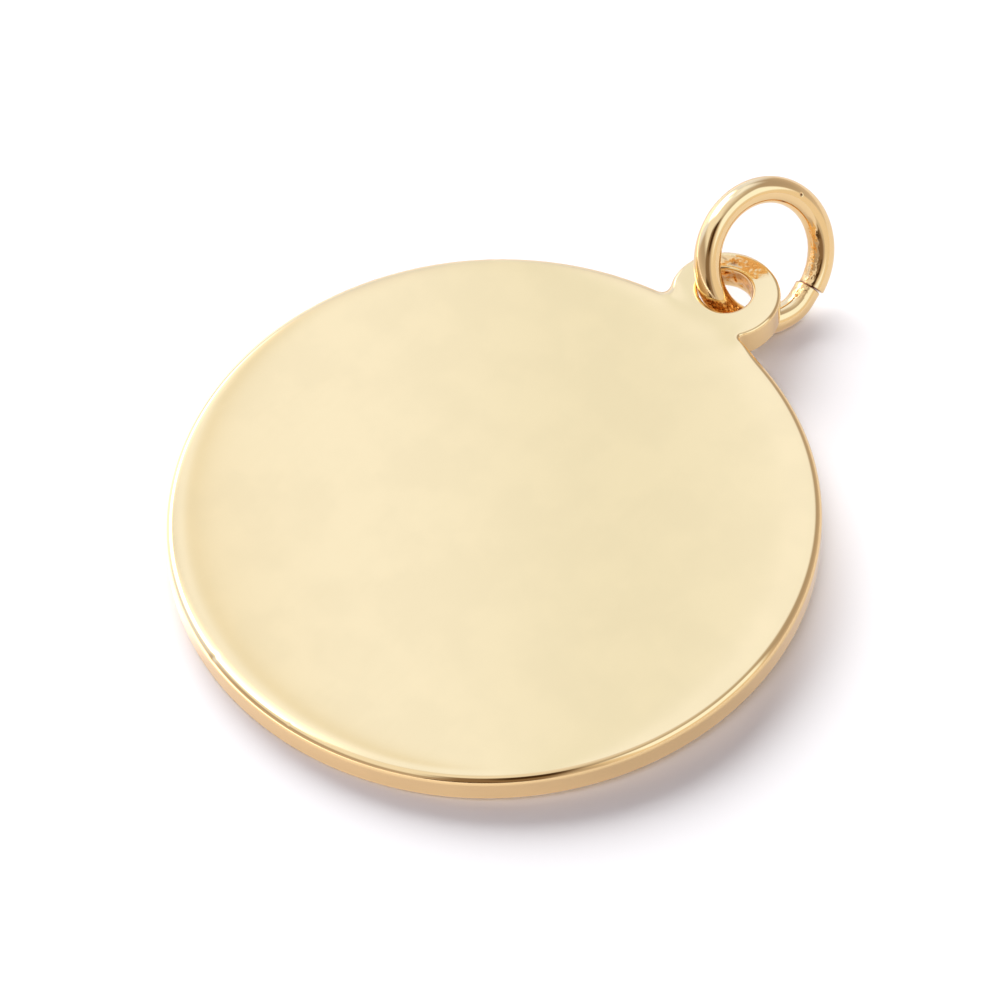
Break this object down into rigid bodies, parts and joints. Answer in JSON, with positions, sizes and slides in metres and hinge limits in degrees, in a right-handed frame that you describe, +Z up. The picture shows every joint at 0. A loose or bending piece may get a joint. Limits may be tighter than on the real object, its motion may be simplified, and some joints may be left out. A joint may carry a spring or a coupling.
{
  "type": "medallion pendant with a jump ring",
  "caption": "Plain round metal pendant blank with a cast ear and an open jump ring through it, lying face up; the ring takes a chain or cord.",
  "frame": {"origin": "on the table, under the middle of the whole pendant's box", "axes": "+Z up from the table, +Y from the blank towards its ear, +X to the right seen from above with the ear away"},
  "size_m": [0.024, 0.0306, 0.0054],
  "materials": {
    "cast_plate": "pale gold plate, softly polished",
    "ring_wire": "gold plate over drawn wire, polished"
  },
  "bodies": {
    "root": {"medallion": "cast_plate", "jump_ring": "ring_wire"}
  },
  "joints": []
}
